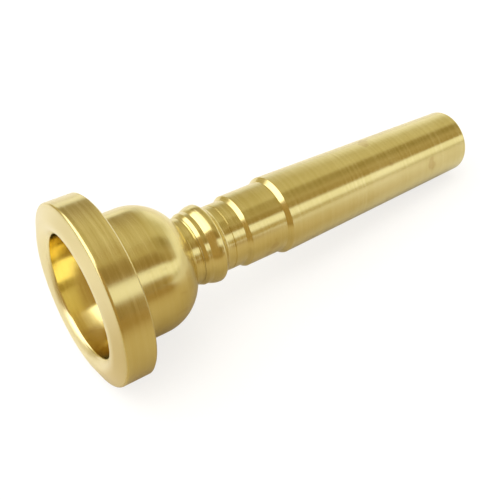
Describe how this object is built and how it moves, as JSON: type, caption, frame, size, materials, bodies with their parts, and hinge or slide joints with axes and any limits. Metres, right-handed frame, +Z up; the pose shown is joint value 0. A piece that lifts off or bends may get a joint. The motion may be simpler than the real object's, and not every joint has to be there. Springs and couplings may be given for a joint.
{
  "type": "brass mouthpiece",
  "caption": "Satin brass cup mouthpiece for a small brass instrument, with a screw-on rim, a bowl-shaped cup and a tapered backbore shank.",
  "frame": {"origin": "on the bore's axis at the small end of the shank, where it goes into the instrument", "axes": "+Y along the bore from the lip rim to the small end of the shank, +Z up as it lies on its side"},
  "size_m": [0.027, 0.0709, 0.027],
  "materials": {
    "rim_brass": "fine-turned raw brass, satin, palest on the rounded lip face",
    "cup_brass": "fine-turned raw brass outside, smooth satin bowl inside",
    "shank_brass": "raw brass with fine turning lines round it and bright chamfers"
  },
  "bodies": {
    "cup": {"cup": "cup_brass"},
    "rim": {"rim": "rim_brass"},
    "backbore": {"backbore": "shank_brass"}
  },
  "joints": [
    {"name": "rim_unscrew", "type": "slide", "parent": "cup", "child": "rim", "axis": [0, -1, 0], "range_m": [0, 0.0031]},
    {"name": "backbore_unscrew", "type": "slide", "parent": "cup", "child": "backbore", "axis": [0, 1, 0], "range_m": [0, 0.004]}
  ]
}
